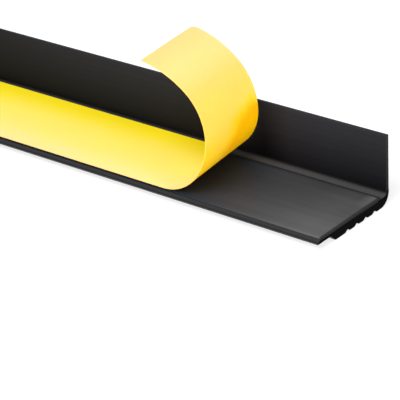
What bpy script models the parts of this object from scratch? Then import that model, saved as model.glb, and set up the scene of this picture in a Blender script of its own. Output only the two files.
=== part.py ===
"""Self-adhesive anti-slip stair nosing, lying on its ribbed face.

The nosing is an L-shaped extrusion. It lies upside down, with the ribs of the
tread leg on the ground and the lip standing up at the back. A strip of adhesive
tape covers the inside face of the tread leg, and a release liner covers the
tape. The liner is peeled back from one end into an open curl.

Frame: X runs along the extrusion, Y across the tread leg towards the lip, and
Z up. The origin is the middle of the box round the part, at ground level.
"""

import math

import bmesh
import bpy
from mathutils import Matrix

# The extrusion as a whole, in metres
LENGTH = 0.500
TREAD_WIDTH = 0.050
LIP_HEIGHT = 0.0313

# The tread leg's layers, measured up from the ground
MARGIN_LEVEL = 0.0029
BED_LEVEL = 0.0049
MARGIN_WIDTH = 0.0085
PAD_FLANK_RUN = 0.0035
PAD_EDGE_RADIUS = 0.0020

# The bevelled free edge of the tread leg
EDGE_BEVEL_RUN = 0.0013
EDGE_LAND = 0.0006
EDGE_ROUND = 0.0002

# The grooves between the ribs, set back from the foot of the nose
GROOVE_COUNT = 4
LAST_GROOVE_SETBACK = 0.0045
GROOVE_PITCH = 0.00635
GROOVE_WIDTH = 0.0032
GROOVE_DEPTH = 0.0009
GROOVE_FLOOR_SHARE = 0.18
RIB_ROUND = 0.0014

# The fine line where the pad meets the nose
NOSE_LINE_WIDTH = 0.0006
NOSE_LINE_DEPTH = 0.0003
NOSE_LINE_SETBACK = 0.0004

# The nose and the lip
NOSE_RADIUS = 0.0060
NOSE_TOP_LEVEL = 0.0069
NOSE_PROUD = 0.0001
LIP_THICKNESS = 0.0018
LIP_EDGE_ROUND = 0.0004

# The shallow channel behind the base layer, and the curve from it up to the lip
CHANNEL_WIDTH = 0.0056
CHANNEL_DEPTH = 0.0003
HEEL_RUN = 0.0026
HEEL_RISE = 0.0016

# The adhesive tape on the bed: bare strips in front of it and up to the lip behind it
TAPE_FRONT_MARGIN = 0.0017
TAPE_REAR_MARGIN = 0.0058
TAPE_THICKNESS = 0.0005

# The release liner, which starts with the tape and ends clear of the lip
LINER_REAR_CLEARANCE = 0.0023
LINER_THICKNESS = 0.0003
BARE_LENGTH = 0.0810
PEEL_SKEW = 0.0039

# The curl along the liner's front edge, and along its rear edge
FRONT_LOWER_RADIUS = 0.0256
FRONT_UPPER_RADIUS = 0.0275
FRONT_TURN = math.radians(152)
FRONT_TAIL = 0.0174
REAR_LOWER_RADIUS = 0.0225
REAR_UPPER_RADIUS = 0.0280
REAR_TURN = math.radians(141)
REAR_TAIL = 0.0242
TAIL_RADIUS = 0.0450

# Clearance between pieces that rest on each other
REST_GAP = 0.0003

# Facets
ARC_STEP = math.radians(7.5)
SMALL_ARC_STEPS = 4
CURL_STEPS = 20
CURL_COLUMNS = 4
CURL_TAIL_STEPS = 5
SMOOTH_ANGLE = math.radians(32)

# Colours are linear RGB
PVC_COLOUR = (0.016, 0.016, 0.017, 1.0)
TAPE_COLOUR = (0.055, 0.055, 0.057, 1.0)
LINER_COLOUR = (0.930, 0.680, 0.060, 1.0)


def clear_scene():
    """Empty the scene of objects and of the collections a default file has."""
    for item in list(bpy.data.objects):
        bpy.data.objects.remove(item, do_unlink=True)
    for group in list(bpy.data.collections):
        bpy.data.collections.remove(group)


def make_material(name, colour, roughness, metallic=0.0):
    """A plain Principled material."""
    material = bpy.data.materials.new(name)
    material.use_nodes = True
    shader = material.node_tree.nodes["Principled BSDF"]
    shader.inputs["Base Color"].default_value = colour
    shader.inputs["Roughness"].default_value = roughness
    shader.inputs["Metallic"].default_value = metallic
    material.diffuse_color = colour
    return material


def arc(centre, radius, start, end, steps=None):
    """Points on an arc from the start angle to the end angle, both ends included."""
    if steps is None:
        steps = max(2, math.ceil(abs(end - start) / ARC_STEP))
    turn = (end - start) / steps
    points = []
    for step in range(steps + 1):
        angle = start + turn * step
        points.append((centre[0] + radius * math.cos(angle), centre[1] + radius * math.sin(angle)))
    return points


def rounded_corner(before, corner, after, radius, steps=SMALL_ARC_STEPS):
    """Points that round the corner between two straight edges of an outline."""
    to_before = (before[0] - corner[0], before[1] - corner[1])
    to_after = (after[0] - corner[0], after[1] - corner[1])
    length_before = math.hypot(*to_before)
    length_after = math.hypot(*to_after)
    ray_before = (to_before[0] / length_before, to_before[1] / length_before)
    ray_after = (to_after[0] / length_after, to_after[1] / length_after)
    cosine = ray_before[0] * ray_after[0] + ray_before[1] * ray_after[1]
    half = math.acos(max(-1.0, min(1.0, cosine))) / 2
    reach = min(radius / math.tan(half), 0.45 * length_before, 0.45 * length_after)
    radius = reach * math.tan(half)
    middle = (ray_before[0] + ray_after[0], ray_before[1] + ray_after[1])
    scale = radius / math.sin(half) / math.hypot(*middle)
    centre = (corner[0] + middle[0] * scale, corner[1] + middle[1] * scale)
    first = (corner[0] + ray_before[0] * reach, corner[1] + ray_before[1] * reach)
    last = (corner[0] + ray_after[0] * reach, corner[1] + ray_after[1] * reach)
    start = math.atan2(first[1] - centre[1], first[0] - centre[0])
    end = math.atan2(last[1] - centre[1], last[0] - centre[0])
    turn = (end - start + math.pi) % (2 * math.pi) - math.pi
    return arc(centre, radius, start, start + turn, steps)


def rounded_path(corners):
    """An open outline through corners, each given as (y, z, radius)."""
    points = []
    for index, (y, z, radius) in enumerate(corners):
        if radius <= 0 or index in (0, len(corners) - 1):
            points.append((y, z))
            continue
        before = corners[index - 1][:2]
        after = corners[index + 1][:2]
        points.extend(rounded_corner(before, (y, z), after, radius))
    return points


def lip_outer_face():
    """How far the lip's outer face is from the free edge."""
    return TREAD_WIDTH - NOSE_PROUD


def lip_inner_face():
    """How far the lip's inner face is from the free edge."""
    return lip_outer_face() - LIP_THICKNESS


def tread_face_corners():
    """The corners of the ribbed face, from the free edge to the foot of the nose."""
    nose_foot = TREAD_WIDTH - NOSE_RADIUS
    corners = [(EDGE_BEVEL_RUN, BED_LEVEL, EDGE_ROUND)]
    corners.append((0.0, MARGIN_LEVEL + EDGE_LAND, 0.0))
    corners.append((0.0, MARGIN_LEVEL, EDGE_ROUND))
    corners.append((MARGIN_WIDTH, MARGIN_LEVEL, EDGE_ROUND))
    corners.append((MARGIN_WIDTH + PAD_FLANK_RUN, 0.0, PAD_EDGE_RADIUS))
    floor_half = GROOVE_WIDTH * GROOVE_FLOOR_SHARE / 2
    for groove in range(GROOVE_COUNT):
        middle = nose_foot - LAST_GROOVE_SETBACK - GROOVE_PITCH * (GROOVE_COUNT - 1 - groove)
        corners.append((middle - GROOVE_WIDTH / 2, 0.0, RIB_ROUND))
        corners.append((middle - floor_half, GROOVE_DEPTH, 0.0))
        corners.append((middle + floor_half, GROOVE_DEPTH, 0.0))
        corners.append((middle + GROOVE_WIDTH / 2, 0.0, RIB_ROUND))
    line_end = nose_foot - NOSE_LINE_SETBACK
    corners.append((line_end - NOSE_LINE_WIDTH, 0.0, 0.0))
    corners.append((line_end - NOSE_LINE_WIDTH / 2, NOSE_LINE_DEPTH, 0.0))
    corners.append((line_end, 0.0, 0.0))
    return corners


def profile_outline():
    """The closed section of the extrusion as (y, z) points, anticlockwise."""
    lip_outer = lip_outer_face()
    lip_inner = lip_inner_face()
    nose_centre = (TREAD_WIDTH - NOSE_RADIUS, NOSE_RADIUS)
    bed_middle = (TREAD_WIDTH / 2, BED_LEVEL)
    channel_level = BED_LEVEL - CHANNEL_DEPTH
    channel_front = lip_inner - CHANNEL_WIDTH

    points = rounded_path([(*bed_middle, 0.0)] + tread_face_corners())
    points += arc(nose_centre, NOSE_RADIUS, -math.pi / 2, 0.0)
    points += rounded_path([
        (TREAD_WIDTH, NOSE_TOP_LEVEL, 0.0),
        (lip_outer, NOSE_TOP_LEVEL + NOSE_PROUD, 0.0),
        (lip_outer, LIP_HEIGHT, LIP_EDGE_ROUND),
        (lip_inner, LIP_HEIGHT, LIP_EDGE_ROUND),
        (lip_inner, channel_level + HEEL_RISE, 0.0),
    ])
    heel = arc((0.0, 0.0), 1.0, 0.0, -math.pi / 2)[1:]
    points += [(lip_inner + HEEL_RUN * (y - 1), channel_level + HEEL_RISE * (z + 1)) for y, z in heel]
    points += [(channel_front, channel_level), (channel_front, BED_LEVEL)]
    return points


def extrude_section(name, points, length, collection):
    """Extrude a closed (y, z) section along X as a welded mesh, centred on X."""
    outline = bpy.data.curves.new(name + "_outline", "CURVE")
    outline.dimensions = "2D"
    outline.fill_mode = "BOTH"
    outline.extrude = length / 2
    spline = outline.splines.new("POLY")
    spline.points.add(len(points) - 1)
    for knot, (y, z) in zip(spline.points, points):
        knot.co = (y, z, 0.0, 1.0)
    spline.use_cyclic_u = True
    guide = bpy.data.objects.new(name + "_outline", outline)
    guide.rotation_euler = (math.pi / 2, 0.0, math.pi / 2)
    guide.location = (0.0, -TREAD_WIDTH / 2, 0.0)
    collection.objects.link(guide)
    bpy.context.view_layer.update()

    evaluated = guide.evaluated_get(bpy.context.evaluated_depsgraph_get())
    mesh = bpy.data.meshes.new_from_object(evaluated)
    mesh.name = name
    build = bmesh.new()
    build.from_mesh(mesh)
    bmesh.ops.remove_doubles(build, verts=build.verts, dist=1e-6)
    bmesh.ops.recalc_face_normals(build, faces=build.faces)
    build.to_mesh(mesh)
    build.free()
    body = bpy.data.objects.new(name, mesh)
    body.matrix_world = guide.matrix_world.copy()
    collection.objects.link(body)
    bpy.data.objects.remove(guide, do_unlink=True)
    bpy.data.curves.remove(outline)
    return body


def shade(item, material):
    """Give a piece its material and smooth shading over its round stretches."""
    item.data.materials.clear()
    item.data.materials.append(material)
    item.data.shade_smooth()
    item.data.set_sharp_from_angle(angle=SMOOTH_ANGLE)


def make_profile(collection):
    """The L-shaped extrusion with its ribs, nose and lip."""
    body = extrude_section("nosing_profile", profile_outline(), LENGTH, collection)
    shade(body, make_material("black_pvc", PVC_COLOUR, 0.42))
    return body


def tape_underside():
    """The height of the tape's lower face."""
    return BED_LEVEL + REST_GAP


def make_tape(collection):
    """The adhesive strip along the whole bed."""
    mesh = bpy.data.meshes.new("adhesive_tape")
    build = bmesh.new()
    width = lip_inner_face() - TAPE_REAR_MARGIN - TAPE_FRONT_MARGIN
    size = Matrix.Diagonal((LENGTH, width, TAPE_THICKNESS, 1.0))
    bmesh.ops.create_cube(build, size=1.0, matrix=size)
    build.to_mesh(mesh)
    build.free()
    tape = bpy.data.objects.new("adhesive_tape", mesh)
    middle_y = TAPE_FRONT_MARGIN + width / 2 - TREAD_WIDTH / 2
    tape.location = (0.0, middle_y, tape_underside() + TAPE_THICKNESS / 2)
    collection.objects.link(tape)
    shade(tape, make_material("dark_adhesive", TAPE_COLOUR, 0.35))
    return tape


def liner_edge(bare, lower, upper, turn, tail):
    """One long edge of the liner as (x, z) points, from its far end to its free end."""
    level = tape_underside() + TAPE_THICKNESS + REST_GAP
    lift = LENGTH / 2 - bare
    points = [(-LENGTH / 2, level)]
    for step in range(CURL_STEPS + 1):
        angle = math.pi / 2 * step / CURL_STEPS
        points.append((lift + lower * math.sin(angle), level + lower * (1 - math.cos(angle))))
    middle_x = lift + lower - upper
    for step in range(1, CURL_STEPS + 1):
        angle = math.pi / 2 + (turn - math.pi / 2) * step / CURL_STEPS
        points.append((middle_x + upper * math.sin(angle), level + lower - upper * math.cos(angle)))
    tail_x = points[-1][0] - TAIL_RADIUS * math.sin(turn)
    tail_z = points[-1][1] + TAIL_RADIUS * math.cos(turn)
    for step in range(1, CURL_TAIL_STEPS + 1):
        angle = turn + tail / TAIL_RADIUS * step / CURL_TAIL_STEPS
        points.append((tail_x + TAIL_RADIUS * math.sin(angle), tail_z - TAIL_RADIUS * math.cos(angle)))
    return points


def make_liner(collection):
    """The release liner: flat on the tape, then peeled up into a curl."""
    front = liner_edge(
        BARE_LENGTH, FRONT_LOWER_RADIUS, FRONT_UPPER_RADIUS, FRONT_TURN, FRONT_TAIL
    )
    rear = liner_edge(
        BARE_LENGTH + PEEL_SKEW, REAR_LOWER_RADIUS, REAR_UPPER_RADIUS, REAR_TURN, REAR_TAIL
    )
    front_y = TAPE_FRONT_MARGIN - TREAD_WIDTH / 2
    width = lip_inner_face() - LINER_REAR_CLEARANCE - TAPE_FRONT_MARGIN
    mesh = bpy.data.meshes.new("release_liner")
    build = bmesh.new()
    rows = []
    for (front_x, front_z), (rear_x, rear_z) in zip(front, rear):
        row = []
        for column in range(CURL_COLUMNS + 1):
            share = column / CURL_COLUMNS
            x = front_x + (rear_x - front_x) * share
            z = front_z + (rear_z - front_z) * share
            row.append(build.verts.new((x, front_y + width * share, z)))
        rows.append(row)
    for near, far in zip(rows, rows[1:]):
        for column in range(CURL_COLUMNS):
            build.faces.new((near[column], far[column], far[column + 1], near[column + 1]))
    build.to_mesh(mesh)
    build.free()
    liner = bpy.data.objects.new("release_liner", mesh)
    collection.objects.link(liner)
    wall = liner.modifiers.new("wall", "SOLIDIFY")
    wall.thickness = LINER_THICKNESS
    wall.offset = 1.0
    shade(liner, make_material("yellow_liner", LINER_COLOUR, 0.45))
    return liner


def main():
    """Build the nosing with its tape and liner."""
    clear_scene()
    collection = bpy.data.collections.new("anti_slip_stair_nosing")
    bpy.context.scene.collection.children.link(collection)
    make_profile(collection)
    make_tape(collection)
    make_liner(collection)


main()
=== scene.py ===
"""Looks of a self-adhesive anti-slip stair nosing, lying upside down on its ribs.

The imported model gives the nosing's place and size. This script dresses it: a
satin black L-shaped extrusion with a darker ribbed face, a strip of adhesive on
its bed, and a yellow release liner peeled back into an open curl. All sizes are
in metres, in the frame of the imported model: X runs along the extrusion, Y across
the tread leg towards the lip, Z up.
"""

import logging
import math
from bisect import bisect_right
from dataclasses import dataclass
from enum import Enum
from typing import Sequence

import bpy
from mathutils import Matrix, Vector, noise


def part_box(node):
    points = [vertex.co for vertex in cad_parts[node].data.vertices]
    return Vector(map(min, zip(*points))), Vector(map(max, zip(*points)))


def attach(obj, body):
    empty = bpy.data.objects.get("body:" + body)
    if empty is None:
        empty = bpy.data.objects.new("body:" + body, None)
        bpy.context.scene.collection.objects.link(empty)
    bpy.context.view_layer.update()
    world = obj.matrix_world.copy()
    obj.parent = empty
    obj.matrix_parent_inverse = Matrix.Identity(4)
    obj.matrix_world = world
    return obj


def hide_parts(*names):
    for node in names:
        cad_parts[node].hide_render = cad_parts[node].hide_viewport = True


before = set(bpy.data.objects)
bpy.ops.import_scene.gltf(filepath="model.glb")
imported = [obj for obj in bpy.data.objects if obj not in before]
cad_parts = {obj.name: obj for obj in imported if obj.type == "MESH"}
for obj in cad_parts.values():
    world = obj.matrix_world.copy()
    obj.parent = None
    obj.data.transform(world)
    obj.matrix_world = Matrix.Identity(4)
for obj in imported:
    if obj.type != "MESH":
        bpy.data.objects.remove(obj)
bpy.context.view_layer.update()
BODY = "root"
LOG = logging.getLogger("stair_nosing")

Point2 = tuple[float, float]
Point3 = tuple[float, float, float]
Colour = tuple[float, float, float, float]
Stop = tuple[float, Colour]
Face = tuple[int, ...]
Socket = bpy.types.NodeSocket
Material = bpy.types.Material
Piece = bpy.types.Object
Setting = Socket | float | Sequence[float]

UNIT: Point2 = (0.0, 1.0)
MOST_OF_EDGE = 0.45


class Layer(Enum):
    """The parts of the extrusion that look different, in the order of its material slots."""

    BASE = 0
    LIP = 1
    RIBBED = 2
    HEEL = 3
    BASE_CUT = 4
    RIBBED_CUT = 5


class Skin(Enum):
    """The faces of the liner, in the order of its material slots."""

    INNER = 0
    OUTER = 1
    EDGE = 2


def to_linear(*screen: int) -> Colour:
    """Turn a screen colour into the linear colour that a shader takes.

    Args:
        screen: Red, green and blue, each from 0 to 255.

    Returns:
        Linear red, green, blue and an alpha of 1.
    """
    shares = [value / 255 for value in screen]
    red, green, blue = (s / 12.92 if s <= 0.04045 else ((s + 0.055) / 1.055) ** 2.4 for s in shares)
    return (red, green, blue, 1.0)


def black(level: int, tint: int = 1) -> Colour:
    """A dark grey on the screen, with a trace of blue."""
    return to_linear(level, level, level + tint)


def yellows(*rows: tuple[float, int, int]) -> tuple[Stop, ...]:
    """Screen yellows with red at its full, from rows of place, green and blue."""
    return tuple((place, to_linear(255, green, blue)) for place, green, blue in rows)


def grey(level: float) -> Colour:
    """A linear grey."""
    return (level, level, level, 1.0)


def with_gain(colour: Colour, gain: float) -> Colour:
    """Make a linear colour lighter or darker."""
    return (colour[0] * gain, colour[1] * gain, colour[2] * gain, 1.0)


class Graph:
    """A material's node tree, with short calls for the nodes used here."""

    def __init__(self, name: str) -> None:
        """Start an empty tree with a Principled shader.

        Args:
            name: The material's name.
        """
        self.material = bpy.data.materials.new(name)
        self.material.use_nodes = True
        self.tree = self.material.node_tree
        self.shader = self.tree.nodes["Principled BSDF"]
        self.where = self.tree.nodes.new("ShaderNodeTexCoord").outputs["Object"]

    def fill(self, target: Socket, source: Setting) -> None:
        """Link a socket to its source, or set its value.

        Args:
            target: The socket.
            source: What is linked to it, or what it is set to.
        """
        if isinstance(source, Socket):
            self.tree.links.new(source, target)
        else:
            target.default_value = source

    def add(self, kind: str, inputs: dict[str | int, Setting], **choices: str) -> bpy.types.Node:
        """Add a node.

        Args:
            kind: The end of Blender's name for it.
            inputs: What is linked to its sockets, or what they are set to.
            choices: Its settings that aren't sockets.

        Returns:
            The node.
        """
        node = self.tree.nodes.new("ShaderNode" + kind)
        for name, choice in choices.items():
            setattr(node, name, choice)
        for name, source in inputs.items():
            self.fill(node.inputs[name], source)
        return node

    def stretched(self, cells: Point3) -> Socket:
        """Object coordinates in pattern cells, of which each axis has its number in a metre."""
        return self.add("Mapping", {"Scale": cells, "Vector": self.where}).outputs["Vector"]

    def noise(
        self, where: Socket, cells: float = 1.0, detail: float = 2.0, rough: float = 0.5
    ) -> Socket:
        """A noise pattern, about 0 to 1, with its cells for each unit of the coordinates."""
        inputs = {"Scale": cells, "Detail": detail, "Roughness": rough, "Vector": where}
        return self.add("TexNoise", inputs).outputs["Fac"]

    def remap(
        self, value: Socket, source: Point2, target: Point2 = UNIT, smooth: bool = False
    ) -> Socket:
        """Carry a value from one range to another, held at its ends.

        Args:
            value: What is carried.
            source: The range it comes from.
            target: The range it goes to.
            smooth: Whether the ends ease in and out.

        Returns:
            The value in the target range.
        """
        names = ("From Min", "From Max", "To Min", "To Max")
        inputs = {**dict(zip(names, (*source, *target))), "Value": value}
        step = "SMOOTHSTEP" if smooth else "LINEAR"
        return self.add("MapRange", inputs, interpolation_type=step).outputs["Result"]

    def remap_before(
        self, value: Socket, edge: float, band: Point2, target: Point2 = UNIT
    ) -> Socket:
        """Carry a place to another range, between two distances before an edge."""
        return self.remap(value, (edge - band[0], edge - band[1]), target)

    def blend(self, share: Socket, first: Colour | Socket, second: Colour | Socket) -> Socket:
        """Mix two colours.

        Args:
            share: How much of the second colour is taken.
            first: A colour, or a socket that gives one.
            second: A colour, or a socket that gives one.

        Returns:
            The mixed colour.
        """
        node = self.add("Mix", {"Factor": share}, data_type="RGBA")
        for name, colour in (("A", first), ("B", second)):
            self.fill(next(s for s in node.inputs if s.name == name and s.type == "RGBA"), colour)
        return next(s for s in node.outputs if s.type == "RGBA")

    def ramp(self, value: Socket, stops: Sequence[Stop]) -> Socket:
        """Turn a value into a colour.

        Args:
            value: A value from 0 to 1.
            stops: Places from 0 to 1, with the colour at each.

        Returns:
            The colour.
        """
        node = self.add("ValToRGB", {"Fac": value})
        elements = node.color_ramp.elements
        while len(elements) < len(stops):
            elements.new(1.0)
        for element, (place, colour) in zip(elements, stops):
            element.position = place
            element.color = colour
        return node.outputs["Color"]

    def math(self, operation: str, first: Socket, second: Socket | float) -> Socket:
        """One sum, by Blender's name for it, on a value and another value or a number."""
        return self.add("Math", {0: first, 1: second}, operation=operation).outputs[0]

    def weigh(self, first: Socket, second: Socket, share: float) -> Socket:
        """Add two patterns, the first by its share and the second by the rest."""
        rest = self.math("MULTIPLY", second, 1.0 - share)
        return self.math("ADD", self.math("MULTIPLY", first, share), rest)

    def fade(self, colour: Socket, gain: Socket) -> Socket:
        """Multiply a colour by a gain that changes from place to place."""
        return self.add("VectorMath", {0: colour, "Scale": gain}, operation="SCALE").outputs[0]

    def axis(self, name: str, source: Socket | None = None) -> Socket:
        """One axis of a vector, or of the place on the object."""
        vector = self.where if source is None else source
        return self.add("SeparateXYZ", {0: vector}).outputs[name]

    def bump(self, height: Socket, depth: float, strength: float = 0.5) -> None:
        """Add relief below any relief that is there already.

        Args:
            height: The pattern that is raised.
            depth: The relief's depth in metres.
            strength: How much of it shows, from 0 to 1.
        """
        node = self.add("Bump", {"Distance": depth, "Strength": strength, "Height": height})
        target = self.shader.inputs["Normal"]
        if target.is_linked:
            self.fill(node.inputs["Normal"], target.links[0].from_socket)
        self.fill(target, node.outputs["Normal"])

    def put(self, name: str, source: Setting) -> None:
        """Set one of the shader's sockets, or link it."""
        self.fill(self.shader.inputs[name], source)


@dataclass(frozen=True)
class PvcFinish:
    """Extruded PVC: long streaks from the die, a faint skin texture, a satin sheen."""

    name: str
    colour: Colour
    streak_colour: Colour
    roughness: Point2
    specular: float
    # rise_gain and along paint shade and highlight into the colour, by height and along the length.
    rise_gain: float = 1.0
    along: tuple[Point2, ...] = ()
    streak_length: float = 0.40
    streak_width: float = 0.0011
    streak_share: float = 0.6
    streak_depth: float = 0.000010
    band_cells: Point3 = (3.0, 60.0, 60.0)
    spread: Point2 = (0.3, 0.7)
    grain_size: float = 0.0006
    grain_depth: float = 0.000018
    grain_relief: float = 0.35

    def build(self, rise: Point2 = UNIT, cut_end: float = 0.0, wall: Point2 = UNIT) -> Material:
        """Make the material.

        Args:
            rise: The heights between which the colour changes by the finish's gain, as painted
                shade or highlight.
            cut_end: The x of the extrusion's end. The places in along are measured back from it.
            wall: The y of the inner face, which carries the painted shade along its length, and of
                the outer one.

        Returns:
            The material.
        """
        graph = Graph(self.name)
        across = 1 / self.streak_width
        streaks = graph.noise(graph.stretched((1 / self.streak_length, across, across)))
        bands = graph.noise(graph.stretched(self.band_cells))
        grain = graph.noise(graph.where, 1 / self.grain_size, detail=3.0, rough=0.6)
        mixed = graph.weigh(streaks, bands, self.streak_share)
        share = graph.remap(mixed, self.spread)
        colour = graph.blend(share, self.colour, self.streak_colour)
        # Painted shade or highlight: the colour is scaled by rise_gain between the heights in rise.
        if self.rise_gain != 1.0:
            ends = [with_gain(end, self.rise_gain) for end in (self.colour, self.streak_colour)]
            up = graph.remap(graph.axis("Z"), rise)
            colour = graph.blend(up, colour, graph.blend(share, *ends))
        # Painted shade along the length, on the inner face only, by the gains in along.
        if self.along:
            reach = self.along[-1][0]
            stops = [(place / reach, grey(gain)) for place, gain in self.along]
            inside = graph.ramp(graph.remap(graph.axis("X"), (cut_end, cut_end - reach)), stops)
            outside = graph.remap(graph.axis("Y"), wall)
            colour = graph.fade(colour, graph.blend(outside, inside, grey(1.0)))
        graph.put("Base Color", colour)
        graph.put("Roughness", graph.remap(mixed, self.spread, self.roughness))
        graph.put("Specular IOR Level", self.specular)
        graph.bump(streaks, self.streak_depth)
        graph.bump(grain, self.grain_depth, self.grain_relief)
        return graph.material


@dataclass(frozen=True)
class TapeFinish:
    """Dark grey adhesive film: smooth, with long faint drag marks and a soft sheen.

    Between a band's two distances before an edge, the colour changes by the band's gain: this
    paints light and shade into the film.
    """

    name: str
    colour: Colour
    pale_colour: Colour
    # Painted shade of the curl, drawn on the film next to the peel line.
    peel_shade_colour: Colour
    roughness: Point2 = (0.34, 0.46)
    specular: float = 0.03
    peel_shade_within: Point2 = (0.003, 0.010)
    # Painted shade along the rear edge beside the lip, painted light there near the curl, and a
    # painted highlight at the cut end.
    rear_width: float = 0.014
    rear_band: Point2 = (0.062, 0.022)
    rear_gain: Point2 = (1.30, 0.64)
    end_band: Point2 = (0.006, 0.002)
    end_gain: float = 1.25
    # Painted shade over the rear part of the film, and in a thin band along the cut end.
    front_band: Point2 = (0.036, 0.022)
    front_gain: float = 0.83
    rim_band: Point2 = (0.0007, 0.0003)
    rim_gain: float = 0.42
    drag_length: float = 0.16
    drag_width: float = 0.0030
    drag_share: float = 0.5
    drag_depth: float = 0.000020
    cloud_cells: Point3 = (28.0, 60.0, 60.0)
    spread: Point2 = (0.35, 0.65)
    grain_cells: float = 1900.0
    grain_depth: float = 0.000012
    grain_relief: float = 0.3

    def build(self, peel_line: float, cut_end: float, rear: float) -> Material:
        """Make the material.

        Args:
            peel_line: The x where the liner leaves the film, where painted shade makes it darkest.
            cut_end: The x of the extrusion's end.
            rear: The y of the film's rear edge.

        Returns:
            The material.
        """
        graph = Graph(self.name)
        width = 1 / self.drag_width
        stretched = graph.stretched((1 / self.drag_length, width, width))
        drags = graph.noise(stretched, detail=3.0, rough=0.55)
        clouds = graph.noise(graph.stretched(self.cloud_cells))
        grain = graph.noise(graph.where, self.grain_cells)
        mixed = graph.weigh(drags, clouds, self.drag_share)
        along, across = graph.axis("X"), graph.axis("Y")

        # Painted light and shade: the rear strip is drawn darker, lighter near the curl and at the
        # cut end, the rear part a little darker, and a thin band along the cut end darker still.
        at_rear = graph.remap(across, (rear - self.rear_width, rear), smooth=True)
        at_end = graph.remap_before(along, cut_end, self.end_band)
        end_lift = graph.math("MULTIPLY", at_end, self.end_gain - self.rear_gain[1])
        rear_gain = graph.remap_before(along, cut_end, self.rear_band, self.rear_gain)
        change = graph.math("ADD", graph.math("ADD", rear_gain, end_lift), -1.0)
        gain = graph.math("ADD", graph.math("MULTIPLY", at_rear, change), 1.0)
        front = graph.remap_before(across, rear, self.front_band, (1.0, self.front_gain))
        rim = graph.remap_before(along, cut_end, self.rim_band, (1.0, self.rim_gain))
        gain = graph.math("MULTIPLY", graph.math("MULTIPLY", gain, front), rim)

        worn = graph.blend(graph.remap(mixed, self.spread), self.colour, self.pale_colour)
        # Painted shade: next to the peel line the film is drawn in the shade colour, easing to its
        # own colour towards the cut end.
        after, before = self.peel_shade_within
        clear_of_peel_shade = graph.remap(along, (peel_line + after, cut_end - before))
        graph.put("Base Color", graph.fade(graph.blend(clear_of_peel_shade, self.peel_shade_colour, worn), gain))
        graph.put("Roughness", graph.remap(mixed, self.spread, self.roughness))
        graph.put("Specular IOR Level", self.specular)
        graph.bump(drags, self.drag_depth)
        graph.bump(grain, self.grain_depth, self.grain_relief)
        return graph.material


@dataclass(frozen=True)
class LinerFinish:
    """Coated yellow liner paper, its colour painted paler where it lies open and looks up (painted
    highlight), and deeper where it is sheltered, looks down or lies near the lip (painted shade).

    The painted shade runs from 0 on a face that looks up to 1 on one that looks down, and past the
    pivot it changes fastest at the rear edge.
    """

    name: str
    # Colour ramps carrying painted light: across the open liner, and from faces that look up to
    # faces that look down.
    across: tuple[Stop, ...]
    sheltered: tuple[Stop, ...]
    roughness: Point2 = (0.42, 0.54)
    specular: float = 0.12
    shine_through: float = 0.0
    shine_depth: float = 0.0004
    shine_spread: Point3 = (1.0, 0.8, 0.4)
    fibre_stretch: Point3 = (1.0, 1.6, 1.0)
    fibre_cells: float = 420.0
    fibre_share: float = 0.55
    fibre_depth: float = 0.000014
    fibre_relief: float = 0.4
    cloud_cells: float = 70.0
    drift_spread: Point2 = (0.3, 0.7)
    drift: float = 0.06
    sheen_spread: Point2 = (0.36, 0.64)
    pivot: float = 0.34
    above_gain: float = 0.6
    below_places: Point2 = (0.35, 1.0)
    below_gain: Point2 = (0.45, 3.0)
    level_slopes: Point2 = (0.96, 0.70)

    def build(self, front: float, rear: float) -> Material:
        """Make the material.

        Args:
            front: The y of the liner's front edge.
            rear: The y of its rear edge.

        Returns:
            The material.
        """
        graph = Graph(self.name)
        stretched = graph.stretched(self.fibre_stretch)
        fibres = graph.noise(stretched, self.fibre_cells, detail=4.0, rough=0.65)
        clouds = graph.noise(graph.where, self.cloud_cells)
        mixed = graph.weigh(fibres, clouds, self.fibre_share)
        drift = graph.remap(mixed, self.drift_spread, (-self.drift, self.drift))
        # Painted shade towards the rear edge beside the lip.
        place = graph.remap(graph.axis("Y"), (front, rear))

        # Painted highlight and shade by the way a face looks: paler facing up, deeper facing down,
        # deepest at the rear edge.
        geometry = graph.tree.nodes.new("ShaderNodeNewGeometry")
        facing = graph.axis("Z", geometry.outputs["Normal"])
        under = graph.math("ADD", graph.remap(facing, (1.0, -1.0)), drift)
        from_pivot = graph.math("SUBTRACT", under, self.pivot)
        above = graph.math("MULTIPLY", graph.math("MINIMUM", from_pivot, 0.0), self.above_gain)
        below_gain = graph.remap(place, self.below_places, self.below_gain, smooth=True)
        below = graph.math("MULTIPLY", graph.math("MAXIMUM", from_pivot, 0.0), below_gain)
        shade = graph.math("ADD", graph.math("ADD", above, below), self.pivot)

        open_colour = graph.ramp(graph.math("ADD", place, drift), self.across)
        bent = graph.remap(facing, self.level_slopes, smooth=True)
        graph.put("Base Color", graph.blend(bent, open_colour, graph.ramp(shade, self.sheltered)))
        graph.put("Roughness", graph.remap(mixed, self.sheen_spread, self.roughness))
        graph.put("Specular IOR Level", self.specular)
        if self.shine_through > 0:
            graph.put("Subsurface Weight", self.shine_through)
            graph.put("Subsurface Scale", self.shine_depth)
            graph.put("Subsurface Radius", self.shine_spread)
        graph.bump(fibres, self.fibre_depth, self.fibre_relief)
        return graph.material


BASE_PVC = PvcFinish("satin_black_pvc", black(33), black(39), (0.46, 0.56), 0.12)
# Painted shade: the lip is drawn darker towards its foot and, on its inner face, darker beside the
# curl and towards the far end.
LIP_PVC = PvcFinish(
    "lip_black_pvc",
    black(14, 2),
    black(17, 2),
    (0.48, 0.54),
    0.04,
    rise_gain=4.4,
    along=(
        (0.0, 0.84),
        (0.030, 1.0),
        (0.048, 1.0),
        (0.062, 0.42),
        (0.070, 1.0),
        (0.135, 1.0),
        (0.215, 0.66),
    ),
    streak_depth=0.000004,
)
RIBBED_PVC = PvcFinish(
    "ribbed_black_pvc", black(40), black(46), (0.36, 0.46), 0.30, grain_depth=0.000030
)
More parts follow.
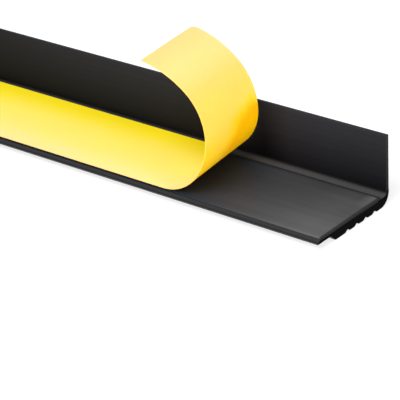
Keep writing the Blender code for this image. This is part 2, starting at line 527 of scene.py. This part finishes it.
# Painted sheen: the heel fillet is drawn lighter than the rest of the black PVC, lightest at its
# foot.
HEEL_PVC = PvcFinish("heel_black_pvc", black(63), black(69), (0.46, 0.56), 0.06, rise_gain=0.12)
# Painted shade: the lip's cut face is drawn darker towards its foot.
BASE_CUT_PVC = PvcFinish(
    "cut_base_pvc", black(22), black(27), (0.60, 0.72), 0.04, rise_gain=1.9, grain_depth=0.000050
)
RIBBED_CUT_PVC = PvcFinish(
    "cut_ribbed_pvc", black(9), black(14), (0.62, 0.75), 0.0, grain_depth=0.000050
)
TAPE = TapeFinish("dark_adhesive_film", black(80), black(89), to_linear(10, 27, 40))
TAPE_CUT = PvcFinish(
    "cut_adhesive_film", black(32), black(38), (0.60, 0.72), 0.04, grain_depth=0.000050
)
# Painted light across the flat liner: paler at the front edge, deeper yellow towards the rear edge
# in the lip's shade.
OPEN_LINER = yellows(
    (0.0, 225, 150),
    (0.30, 228, 116),
    (0.60, 232, 98),
    (0.85, 231, 42),
    (1.0, 229, 22),
)
# Inner curl: paler where it looks up (painted highlight), deeper where it looks down (painted
# shade).
INNER_CURL = yellows(
    (0.0, 232, 130),
    (0.35, 230, 116),
    (0.60, 224, 94),
    (1.0, 216, 68),
)
# Outer curl: pale where it looks up (painted highlight), deep orange where it looks down or lies at
# the rear edge (painted shade).
OUTER_CURL = yellows(
    (0.0, 205, 128),
    (0.15, 195, 112),
    (0.21, 190, 98),
    (0.28, 190, 84),
    (0.40, 195, 78),
    (0.48, 196, 42),
    (0.55, 192, 20),
    (0.72, 174, 4),
    (1.0, 184, 2),
)
LINER_INNER = LinerFinish("yellow_liner_inner", OPEN_LINER, INNER_CURL)
LINER_OUTER = LinerFinish("yellow_liner_outer", (OUTER_CURL[0],) * 2, OUTER_CURL, shine_through=0.6)
# Painted highlight: the liner's thin edge faces are drawn pale.
LINER_EDGE = LinerFinish(
    "pale_liner_edge",
    yellows((0.0, 214, 120), (1.0, 212, 80)),
    yellows((0.0, 206, 116), (1.0, 194, 60)),
)


def arc(centre: Point2, radius: float, start: float, end: float, steps: int) -> list[Point2]:
    """Points on an arc from one angle to another, both ends included, with a number of chords."""
    angles = [start + (end - start) * step / steps for step in range(steps + 1)]
    return [(centre[0] + radius * math.cos(a), centre[1] + radius * math.sin(a)) for a in angles]


def round_corner(
    before: Point2, corner: Point2, after: Point2, radius: float, steps: int
) -> list[Point2]:
    """Round the corner between two straight edges.

    Args:
        before: The corner that comes before.
        corner: The corner that is rounded.
        after: The corner that comes after.
        radius: The rounding's radius, made smaller where the edges are short.
        steps: How many chords it has.

    Returns:
        The points of the rounding.
    """
    here = Vector(corner)
    back = Vector(before) - here
    ahead = Vector(after) - here
    half = back.angle(ahead) / 2
    reach = min(radius / math.tan(half), MOST_OF_EDGE * min(back.length, ahead.length))
    radius = reach * math.tan(half)
    middle = (back.normalized() + ahead.normalized()).normalized()
    centre = here + middle * (radius / math.sin(half))
    first = here + back.normalized() * reach - centre
    last = here + ahead.normalized() * reach - centre
    start = math.atan2(first.y, first.x)
    turn = (math.atan2(last.y, last.x) - start + math.pi) % (2 * math.pi) - math.pi
    return arc((centre.x, centre.y), radius, start, start + turn, steps)


def round_path(corners: Sequence[Point3], steps: int) -> list[Point2]:
    """Follow corners, rounding each that has a radius.

    Args:
        corners: The corners as (y, z, radius). The first and last stay sharp.
        steps: How many chords a rounding has.

    Returns:
        The points of the open path.
    """
    points: list[Point2] = []
    for index, (y, z, radius) in enumerate(corners):
        if radius <= 0 or index in (0, len(corners) - 1):
            points.append((y, z))
            continue
        before, after = corners[index - 1][:2], corners[index + 1][:2]
        points += round_corner(before, (y, z), after, radius, steps)
    return points


def shift_inward(points: Sequence[Point2], distance: float) -> list[Point2]:
    """Move a closed anticlockwise outline inward.

    Args:
        points: The outline.
        distance: How far each point moves.

    Returns:
        The smaller outline.
    """
    moved = []
    for index, (y, z) in enumerate(points):
        after = Vector(points[(index + 1) % len(points)])
        along = (after - Vector(points[index - 1])).normalized()
        moved.append((y - along.y * distance, z + along.x * distance))
    return moved


def join_rings(count: int, rings: int) -> list[Face]:
    """Join closed rings of points with quads.

    Args:
        count: How many points a ring has.
        rings: How many rings follow the first.

    Returns:
        The quads as point numbers, ring by ring.
    """
    faces: list[Face] = []
    for start in range(0, rings * count, count):
        for index in range(count):
            near, after = start + index, start + (index + 1) % count
            faces.append((near, near + count, after + count, after))
    return faces


def new_piece(
    name: str,
    points: Sequence[Point3],
    faces: Sequence[Face],
    slots: Sequence[int],
    materials: Sequence[Material],
    smooth_angle: float,
) -> Piece:
    """Make a mesh object.

    Args:
        name: The piece's name.
        points: Its vertices.
        faces: Its faces as vertex numbers.
        slots: The material slot of each face.
        materials: Its materials.
        smooth_angle: Edges sharper than this angle stay sharp.

    Returns:
        The new object, linked to the scene.
    """
    mesh = bpy.data.meshes.new(name)
    mesh.from_pydata(points, [], faces)
    for material in materials:
        mesh.materials.append(material)
    mesh.polygons.foreach_set("material_index", list(slots))
    mesh.validate()
    mesh.shade_smooth()
    mesh.set_sharp_from_angle(angle=smooth_angle)
    piece = bpy.data.objects.new(name, mesh)
    bpy.context.scene.collection.objects.link(piece)
    return piece


@dataclass
class NosingProfile:
    """The L-shaped extrusion, with its ribbed tread face, nose and lip."""

    node: str = "nosing_profile"
    slot: str = "black_pvc"
    margin_level: float = 0.0029
    bed_level: float = 0.0049
    margin_width: float = 0.0085
    flank_run: float = 0.0035
    pad_edge_radius: float = 0.0020
    edge_bevel_run: float = 0.0013
    edge_land: float = 0.0006
    edge_round: float = 0.0002
    groove_count: int = 4
    last_groove_setback: float = 0.0045
    groove_pitch: float = 0.00635
    groove_width: float = 0.0032
    groove_depth: float = 0.0009
    groove_floor_share: float = 0.18
    rib_round: float = 0.0014
    groove_round_share: float = 1 / 3
    nose_line_width: float = 0.0006
    nose_line_depth: float = 0.0003
    nose_line_setback: float = 0.0004
    nose_line_round: float = 0.000075
    nose_radius: float = 0.0060
    nose_top: float = 0.0069
    nose_proud: float = 0.0001
    nose_step_round: float = 0.00005
    lip_thickness: float = 0.0018
    lip_round: float = 0.0004
    channel_width: float = 0.0056
    channel_depth: float = 0.0003
    step_round: float = 0.00008
    heel_run: float = 0.0026
    heel_rise: float = 0.0016
    heel_stop: float = 0.0024
    # Shares of the heel's rise over which its painted sheen fades.
    heel_fade: Point2 = (0.02, 0.70)
    seam_level: float = 0.0040
    seam_bend: float = 0.0009
    cut_edge: float = 0.00012
    stations: int = 90
    arc_steps: int = 22
    corner_steps: int = 6
    nose_step_steps: int = 3
    smooth_angle: float = math.radians(34)

    def __post_init__(self) -> None:
        """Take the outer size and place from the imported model."""
        self.low, self.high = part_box(self.node)
        self.width = self.high.y - self.low.y
        self.lip_outer = self.width - self.nose_proud
        self.lip_inner = self.lip_outer - self.lip_thickness
        self.lip_height = self.high.z - self.low.z
        self.channel_level = self.bed_level - self.channel_depth
        self.channel_front = self.lip_inner - self.channel_width

    def ribbed_side(self) -> list[Point2]:
        """The outside of the ribbed layer, from the free edge to the step above the nose.

        Returns:
            Its points, from the seam on the free edge to the seam on the lip.
        """
        corners: list[Point3] = [
            (0.0, self.seam_level, 0.0),
            (0.0, self.margin_level, self.edge_round),
            (self.margin_width, self.margin_level, self.edge_round),
            (self.margin_width + self.flank_run, 0.0, self.pad_edge_radius),
        ]
        nose_start = self.width - self.nose_radius
        half = self.groove_width / 2
        floor_half = half * self.groove_floor_share
        floor_round = self.rib_round * self.groove_round_share
        for groove in range(self.groove_count - 1, -1, -1):
            middle = nose_start - self.last_groove_setback - self.groove_pitch * groove
            corners += [
                (middle - half, 0.0, self.rib_round),
                (middle - floor_half, self.groove_depth, floor_round),
                (middle + floor_half, self.groove_depth, floor_round),
                (middle + half, 0.0, self.rib_round),
            ]
        line_end = nose_start - self.nose_line_setback
        corners += [
            (line_end - self.nose_line_width, 0.0, self.nose_line_round),
            (line_end - self.nose_line_width / 2, self.nose_line_depth, 0.0),
            (line_end, 0.0, self.nose_line_round),
            (nose_start, 0.0, 0.0),
        ]
        centre = (nose_start, self.nose_radius)
        nose = arc(centre, self.nose_radius, -math.pi / 2, 0.0, self.arc_steps)
        step = [
            nose[-1] + (0.0,),
            (self.width, self.nose_top, self.nose_step_round),
            (self.lip_outer, self.nose_top + self.nose_proud, 0.0),
        ]
        top = round_path(step, self.nose_step_steps)
        return round_path(corners, self.corner_steps)[:-1] + nose[:-1] + top

    def lip_side(self) -> list[Point2]:
        """The outside of the lip, from above the nose, over its edge and down to the heel.

        Returns:
            Its points, both ends left out.
        """
        corners = [
            (self.lip_outer, self.nose_top + self.nose_proud, 0.0),
            (self.lip_outer, self.lip_height, self.lip_round),
            (self.lip_inner, self.lip_height, self.lip_round),
            (self.lip_inner, self.channel_level + self.heel_rise, 0.0),
        ]
        return round_path(corners, self.corner_steps)[1:-1]

    def heel(self) -> list[Point2]:
        """The heel and the start of the channel, from the lip's inner face.

        Returns:
            Its points, both ends included.
        """
        quarter = arc((0.0, 0.0), 1.0, 0.0, -math.pi / 2, self.arc_steps)
        foot = self.lip_inner - self.heel_run
        base = self.channel_level
        curve = [(foot + self.heel_run * y, base + self.heel_rise * (z + 1)) for y, z in quarter]
        return curve + [(self.channel_front + self.heel_stop, base)]

    def bed_side(self) -> list[Point2]:
        """The base's rear edge, the bed and the bevelled free edge, down to the seam.

        Returns:
            Its points, the last left out.
        """
        corners = [
            (self.channel_front, self.channel_level, 0.0),
            (self.channel_front, self.bed_level, self.step_round),
            (self.edge_bevel_run, self.bed_level, self.edge_round),
            (0.0, self.margin_level + self.edge_land, self.edge_round),
            (0.0, self.seam_level, 0.0),
        ]
        return round_path(corners, self.corner_steps)[:-1]

    def seam(self) -> list[Point2]:
        """The seam under the bed, seen on a cut end.

        Returns:
            Its points from the free edge to the channel, both ends left out.
        """
        rise = self.channel_level - self.seam_level
        quarter = arc((0.0, 0.0), 1.0, -math.pi / 2, 0.0, self.arc_steps // 2)[:-1]
        front = self.channel_front - self.seam_bend
        return [(front + self.seam_bend * y, self.channel_level + rise * z) for y, z in quarter]

    def materials(self) -> list[Material]:
        """Make the materials.

        Returns:
            One for each layer, in the layers' order.
        """
        channel = self.low.z + self.channel_level
        # Heights over which the lip and its cut face are drawn darker towards the foot: painted
        # shade.
        lip = (channel + self.heel_rise, self.high.z)
        # Heights over which the heel's painted sheen fades.
        heel = tuple(channel + share * self.heel_rise for share in self.heel_fade)
        wall = (self.low.y + self.lip_inner, self.low.y + self.lip_outer)
        return [
            BASE_PVC.build(),
            LIP_PVC.build(lip, self.high.x, wall),
            RIBBED_PVC.build(),
            HEEL_PVC.build(heel),
            BASE_CUT_PVC.build(lip),
            RIBBED_CUT_PVC.build(),
        ]

    def build(self) -> Piece:
        """Sweep the section along X, and close both ends with the two layers' faces.

        Returns:
            The finished piece.
        """
        stretches = (
            (self.ribbed_side(), Layer.RIBBED, Layer.LIP),
            (self.lip_side(), Layer.LIP, Layer.LIP),
            (self.heel(), Layer.HEEL, Layer.BASE),
            (self.bed_side(), Layer.BASE, Layer.BASE),
        )
        outline: list[Point2] = []
        starts: list[int] = []
        ring_slots: list[int] = []
        for stretch, layer, after_it in stretches:
            starts.append(len(outline))
            outline += stretch
            ring_slots += [layer.value] * (len(stretch) - 1) + [after_it.value]
        count = len(outline)
        lip_first, heel_first, bed_first = starts[1:]

        inset = shift_inward(outline, self.cut_edge)
        length = self.high.x - self.low.x
        between = length - 2 * self.cut_edge
        places = [0.0]
        places += [self.cut_edge + between * s / self.stations for s in range(self.stations + 1)]
        places.append(length)
        points: list[Point3] = []
        for place in places:
            section = inset if place in (0.0, length) else outline
            points += [(self.low.x + place, self.low.y + y, self.low.z + z) for y, z in section]
        rings = len(places) - 1
        faces = join_rings(count, rings)
        slots = ring_slots * rings

        seam = self.seam()
        for x, start, far in ((self.low.x, 0, False), (self.high.x, rings * count, True)):
            ring = list(range(start, start + count))
            line = list(range(len(points), len(points) + len(seam)))
            points += [(x, self.low.y + y, self.low.z + z) for y, z in seam]
            ribbed = ring[:lip_first] + ring[heel_first : bed_first + 1] + line[::-1]
            for numbers, layer in (
                (ribbed, Layer.RIBBED_CUT),
                (ring[lip_first - 1 : heel_first + 1], Layer.BASE_CUT),
                (ring[bed_first:] + [start] + line, Layer.BASE_CUT),
            ):
                faces.append(tuple(numbers if far else numbers[::-1]))
                slots.append(layer.value)

        materials = self.materials()
        piece = new_piece("extruded_nosing", points, faces, slots, materials, self.smooth_angle)
        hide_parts(self.node)
        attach(piece, BODY)
        return piece


@dataclass
class AdhesiveTape:
    """The strip of adhesive on the bed, from one cut end to the other."""

    node: str = "adhesive_tape"
    slot: str = "dark_adhesive"
    edge_round: float = 0.00018
    stations: int = 120
    columns: int = 40
    corner_steps: int = 5
    ripple: float = 0.00003
    ripple_cells: Point2 = (55.0, 160.0)
    ripple_layer: float = 1.7
    smooth_angle: float = math.radians(40)

    def build(self, bed_level: float, peel_line: float) -> Piece:
        """Sweep the strip's section along X, down to the bed that it is stuck to.

        Args:
            bed_level: The height of the bed under it.
            peel_line: The x where the liner leaves it.

        Returns:
            The finished piece.
        """
        low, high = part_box(self.node)
        corners = [
            (high.y, bed_level, 0.0),
            (high.y, high.z, self.edge_round),
            (low.y, high.z, self.edge_round),
            (low.y, bed_level, 0.0),
        ]
        outline = round_path(corners, self.corner_steps)
        half = len(outline) // 2
        start, end = outline[half - 1][0], outline[half][0]
        shares = [column / self.columns for column in range(1, self.columns)]
        top = [(start + (end - start) * share, high.z) for share in shares]
        section = outline[:half] + top + outline[half:]
        count = len(section)
        along, across = self.ripple_cells
        points: list[Point3] = []
        for station in range(self.stations + 1):
            x = low.x + (high.x - low.x) * station / self.stations
            for y, z in section:
                cell = Vector((x * along, y * across, self.ripple_layer))
                dip = min(self.ripple * noise.noise(cell), 0.0) if z > bed_level else 0.0
                points.append((x, y, z + dip))
        faces = join_rings(count, self.stations)
        slots = [0] * len(faces) + [1, 1]
        last = self.stations * count
        faces += [tuple(range(count))[::-1], tuple(range(last, last + count))]
        materials = [TAPE.build(peel_line, high.x, high.y), TAPE_CUT.build()]
        piece = new_piece("adhesive_strip", points, faces, slots, materials, self.smooth_angle)
        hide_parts(self.node)
        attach(piece, BODY)
        return piece


@dataclass(frozen=True)
class CurlShape:
    """The sizes of a curl: a quarter ellipse up from the tape, an arc over it, and a tail."""

    reach: float
    rise: float
    upper_radius: float
    turn: float
    tail: float
    tail_radius: float = 0.0450


@dataclass
class CurlEdge:
    """One long edge of the peeled liner, from where it leaves the tape."""

    lift_x: float
    shape: CurlShape
    quarter_steps: int = 180

    def __post_init__(self) -> None:
        """Walk up the quarter ellipse in short steps, noting the distance to each."""
        self.walked = [0.0]
        before = (0.0, 0.0)
        for step in range(1, self.quarter_steps + 1):
            here = self.on_quarter(math.pi / 2 * step / self.quarter_steps)
            self.walked.append(self.walked[-1] + math.dist(before, here))
            before = here
        self.upper = self.shape.upper_radius * (self.shape.turn - math.pi / 2)
        self.length = self.walked[-1] + self.upper + self.shape.tail

    def on_quarter(self, around: float) -> Point2:
        """The run and height on the quarter ellipse at an angle round it."""
        return (self.shape.reach * math.sin(around), self.shape.rise * (1 - math.cos(around)))

    def at(self, distance: float, level: float) -> Point3:
        """Where the edge is at a distance along the curl.

        Args:
            distance: How far along the edge from where it leaves the tape. Less
                than zero is on the flat part.
            level: The height of the flat part.

        Returns:
            The point and its slope as (x, z, angle).
        """
        shape = self.shape
        quarter = self.walked[-1]
        if distance <= 0:
            return (self.lift_x + distance, level, 0.0)
        if distance < quarter:
            step = bisect_right(self.walked, distance)
            share = (distance - self.walked[step - 1]) / (self.walked[step] - self.walked[step - 1])
            around = math.pi / 2 * (step - 1 + share) / self.quarter_steps
            run, height = self.on_quarter(around)
            slope = math.atan2(shape.rise * math.sin(around), shape.reach * math.cos(around))
            return (self.lift_x + run, level + height, slope)
        angle = math.pi / 2 + min(distance - quarter, self.upper) / shape.upper_radius
        x = self.lift_x + shape.reach - shape.upper_radius + shape.upper_radius * math.sin(angle)
        z = level + shape.rise - shape.upper_radius * math.cos(angle)
        if distance <= quarter + self.upper:
            return (x, z, angle)
        after = shape.turn + (distance - quarter - self.upper) / shape.tail_radius
        x += shape.tail_radius * (math.sin(after) - math.sin(shape.turn))
        z -= shape.tail_radius * (math.cos(after) - math.cos(shape.turn))
        return (x, z, after)


@dataclass
class ReleaseLiner:
    """The yellow liner: flat on the tape, then peeled back into an open curl."""

    node: str = "release_liner"
    slot: str = "yellow_liner"
    bare_length: float = 0.0799
    skew: float = 0.0070
    front: CurlShape = CurlShape(0.0243, 0.0274, 0.0241, math.radians(143), 0.0242)
    rear: CurlShape = CurlShape(0.0244, 0.0229, 0.0271, math.radians(142), 0.0248)
    thickness: float = 0.00018
    tape_gap: float = 0.00004
    rear_corner: float = 0.0026
    front_corner: float = 0.0006
    flat_stations: int = 80
    curl_stations: int = 110
    end_stations: int = 16
    end_length: float = 0.0030
    end_crowding: float = 1.6
    columns: int = 40
    edge_wave: float = 0.00025
    wave_cells: Point3 = (30.0, 1.4, 30.0)
    smooth_angle: float = math.radians(50)

    def corner_inset(self, to_end: float, radius: float) -> float:
        """How far a rounded corner cuts an edge back, at a distance from the free end."""
        inside = max(0.0, radius - to_end)
        return radius - math.sqrt(radius**2 - inside**2)

    def runs(self) -> list[float]:
        """Space the rows of points along the liner, closest at the free end.

        Returns:
            Each row's place: -1 at the far end, 0 at the lift, 1 at the free end.
        """
        share = self.end_length / (self.front.upper_radius * math.pi)
        rows = [-1.0 + step / self.flat_stations for step in range(self.flat_stations)]
        rows += [(1.0 - share) * step / self.curl_stations for step in range(self.curl_stations)]
        for step in range(self.end_stations + 1):
            rows.append(1.0 - share * (1.0 - step / self.end_stations) ** self.end_crowding)
        return rows

    def lay(
        self, rows: Sequence[float], level: float, cut_end: float
    ) -> tuple[list[Point3], list[Point3]]:
        """Place the points of both skins between the liner's front and rear edges.

        Args:
            rows: Each row's place along the liner.
            level: The height of its lower skin where it is flat.
            cut_end: The x of the extrusion's end beside the curl.

        Returns:
            The points of the outer skin and of the inner one, row by row.
        """
        low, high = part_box(self.node)
        width = high.y - low.y
        front = CurlEdge(cut_end - self.bare_length, self.front)
        rear = CurlEdge(front.lift_x - self.skew, self.rear)
        wave_x, wave_y, wave_z = self.wave_cells
        outer: list[Point3] = []
        inner: list[Point3] = []
        for run in rows:
            ends = []
            for edge in (front, rear):
                length = edge.lift_x - low.x if run < 0 else edge.length
                ends.append(edge.at(run * length, level))
            to_end = (1.0 - run) * front.length
            start = self.corner_inset(to_end, self.front_corner) / width
            stop = 1.0 - self.corner_inset(to_end, self.rear_corner) / width
            for column in range(self.columns + 1):
                share = start + (stop - start) * column / self.columns
                x, z, angle = (a + (b - a) * share for a, b in zip(*ends))
                cell = Vector((x * wave_x, share * wave_y, z * wave_z))
                z += self.edge_wave * max(0.0, run) * noise.noise(cell)
                y = low.y + width * share
                outer.append((x, y, z))
                x -= self.thickness * math.sin(angle)
                inner.append((x, y, z + self.thickness * math.cos(angle)))
        return outer, inner

    def join(self, stations: int) -> tuple[list[Face], list[int]]:
        """Join the two skins' points with faces, and close the edges between them.

        Args:
            stations: How many rows follow the first.

        Returns:
            The faces as point numbers, and the material slot of each.
        """
        row = self.columns + 1
        total = (stations + 1) * row
        faces: list[Face] = []
        slots: list[int] = []
        for station in range(stations):
            for column in range(self.columns):
                first = station * row + column
                quad = (first, first + row, first + row + 1, first + 1)
                faces += [tuple(total + corner for corner in quad), quad[::-1]]
                slots += [Skin.INNER.value, Skin.OUTER.value]
        rim: list[tuple[int, int]] = []
        for near in range(0, stations * row, row):
            far = near + self.columns
            rim += [(near, near + row), (far + row, far)]
        for column in range(self.columns):
            tip = stations * row + column
            rim += [(column + 1, column), (tip, tip + 1)]
        faces += [(a, b, total + b, total + a) for a, b in rim]
        return faces, slots + [Skin.EDGE.value] * (len(faces) - len(slots))

    def build(self, tape_top: float, cut_end: float) -> Piece:
        """Loft the liner, with a skin on each side.

        Args:
            tape_top: The height of the tape's upper face.
            cut_end: The x of the extrusion's end beside the curl.

        Returns:
            The finished piece.
        """
        low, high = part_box(self.node)
        rows = self.runs()
        outer, inner = self.lay(rows, tape_top + self.tape_gap, cut_end)
        faces, slots = self.join(len(rows) - 1)
        finishes = (LINER_INNER, LINER_OUTER, LINER_EDGE)
        materials = [finish.build(low.y, high.y) for finish in finishes]
        piece = new_piece("peeled_liner", outer + inner, faces, slots, materials, self.smooth_angle)
        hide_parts(self.node)
        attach(piece, BODY)
        return piece


@dataclass(frozen=True)
class SoftLight:
    """A square softbox: where it hangs from its target, its size and its power."""

    name: str
    offset: Point3
    size: float
    power: float

    def build(self, target: Vector) -> None:
        """Hang the light.

        Args:
            target: What it points at.
        """
        lamp = bpy.data.lights.new(self.name, "AREA")
        lamp.shape = "SQUARE"
        lamp.size = self.size
        lamp.energy = self.power
        light = bpy.data.objects.new(self.name, lamp)
        light.location = target + Vector(self.offset)
        light.rotation_euler = (target - light.location).to_track_quat("-Z", "Y").to_euler()
        bpy.context.scene.collection.objects.link(light)


@dataclass
class Studio:
    """A white room: a pale floor, even light from all round and two soft lights."""

    floor_size: float = 12.0
    floor_drop: float = 0.00005
    floor_roughness: float = 0.9
    floor_bounce: float = 0.92
    floor_glow: float = 0.74
    floor_shading: float = 0.34
    room_strength: float = 0.42
    aim_from_end: float = 0.1
    key: SoftLight = SoftLight("key_softbox", (0.10, -0.90, 1.10), 0.9, 20.0)
    side: SoftLight = SoftLight("side_softbox", (1.15, -0.35, 0.10), 0.5, 17.5)

    def build_floor(self) -> None:
        """Lay the floor that the nosing rests on."""
        graph = Graph("white_floor")
        path = graph.tree.nodes.new("ShaderNodeLightPath")
        seen = graph.math("MAXIMUM", path.outputs["Is Camera Ray"], path.outputs["Is Glossy Ray"])
        bounce, shown = grey(self.floor_bounce), grey(self.floor_shading)
        graph.put("Base Color", graph.blend(seen, bounce, shown))
        graph.put("Roughness", self.floor_roughness)
        graph.put("Specular IOR Level", 0.0)
        graph.put("Emission Color", grey(1.0))
        graph.put("Emission Strength", graph.math("MULTIPLY", seen, self.floor_glow))
        half = self.floor_size / 2
        corners = [(-half, -half, 0.0), (half, -half, 0.0), (half, half, 0.0), (-half, half, 0.0)]
        floor = new_piece("floor", corners, [(0, 1, 2, 3)], [0], [graph.material], 0.0)
        floor.location.z = -self.floor_drop

    def build_room(self) -> None:
        """Light from all round, with plain white behind the object."""
        world = bpy.data.worlds.new("white_room")
        bpy.context.scene.world = world
        world.use_nodes = True
        tree = world.node_tree
        background = tree.nodes["Background"]
        background.inputs["Color"].default_value = grey(1.0)
        path = tree.nodes.new("ShaderNodeLightPath")
        seen = tree.nodes.new("ShaderNodeMath")
        seen.operation = "MAXIMUM"
        for ray, target in zip(("Is Camera Ray", "Is Glossy Ray"), seen.inputs):
            tree.links.new(path.outputs[ray], target)
        strength = tree.nodes.new("ShaderNodeMapRange")
        strength.inputs["To Min"].default_value = self.room_strength
        strength.inputs["To Max"].default_value = 1.0
        tree.links.new(seen.outputs[0], strength.inputs["Value"])
        tree.links.new(strength.outputs["Result"], background.inputs["Strength"])

    def build(self, cut_end: float) -> None:
        """Set up the room and its lights.

        Args:
            cut_end: The x of the extrusion's end that is seen.
        """
        self.build_floor()
        self.build_room()
        target = Vector((cut_end - self.aim_from_end, 0.0, 0.0))
        self.key.build(target)
        self.side.build(target)


@dataclass
class PhotoCamera:
    """The camera, from the front and from the cut end, looking down at a long focal length."""

    heading: float = math.radians(39.80)
    dip: float = math.radians(26.86)
    roll: float = math.radians(-3.08)
    distance: float = 0.8413
    focal_length: float = 180.0
    sensor: float = 36.0
    nearest: float = 0.01
    aim_from_end: float = 0.0745
    aim_y: float = -0.0060
    aim_z: float = -0.0059

    def build(self, cut_end: float) -> None:
        """Set up the camera.

        Args:
            cut_end: The x of the extrusion's end that is seen.
        """
        level_right = Vector((math.cos(self.heading), math.sin(self.heading), 0.0))
        ahead = Vector((-math.sin(self.heading), math.cos(self.heading), 0.0)) * math.cos(self.dip)
        ahead.z = -math.sin(self.dip)
        level_up = level_right.cross(ahead)
        right = level_right * math.cos(self.roll) + level_up * math.sin(self.roll)
        up = level_up * math.cos(self.roll) - level_right * math.sin(self.roll)
        aim = Vector((cut_end - self.aim_from_end, self.aim_y, self.aim_z))
        lens = bpy.data.cameras.new("photo_camera")
        lens.lens = self.focal_length
        lens.sensor_width = self.sensor
        lens.clip_start = self.nearest
        camera = bpy.data.objects.new("photo_camera", lens)
        turned = Matrix((right, up, -ahead)).transposed().to_4x4()
        camera.matrix_world = Matrix.Translation(aim - ahead * self.distance) @ turned
        bpy.context.scene.collection.objects.link(camera)
        bpy.context.scene.camera = camera


def report(piece: Piece) -> None:
    """Say what was built."""
    LOG.info("%s: %d faces", piece.name, len(piece.data.polygons))


def main() -> None:
    """Build the nosing, its tape and liner, and the studio round them."""
    logging.basicConfig(level=logging.INFO, format="%(name)s %(message)s")
    bpy.context.scene.view_settings.view_transform = "Standard"

    profile = NosingProfile()
    tape = AdhesiveTape()
    liner = ReleaseLiner()
    cut_end = profile.high.x
    report(profile.build())
    report(tape.build(profile.low.z + profile.bed_level, cut_end - liner.bare_length))
    report(liner.build(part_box(tape.node)[1].z, cut_end))
    Studio().build(cut_end)
    PhotoCamera().build(cut_end)


if __name__ == "__main__":
    main()
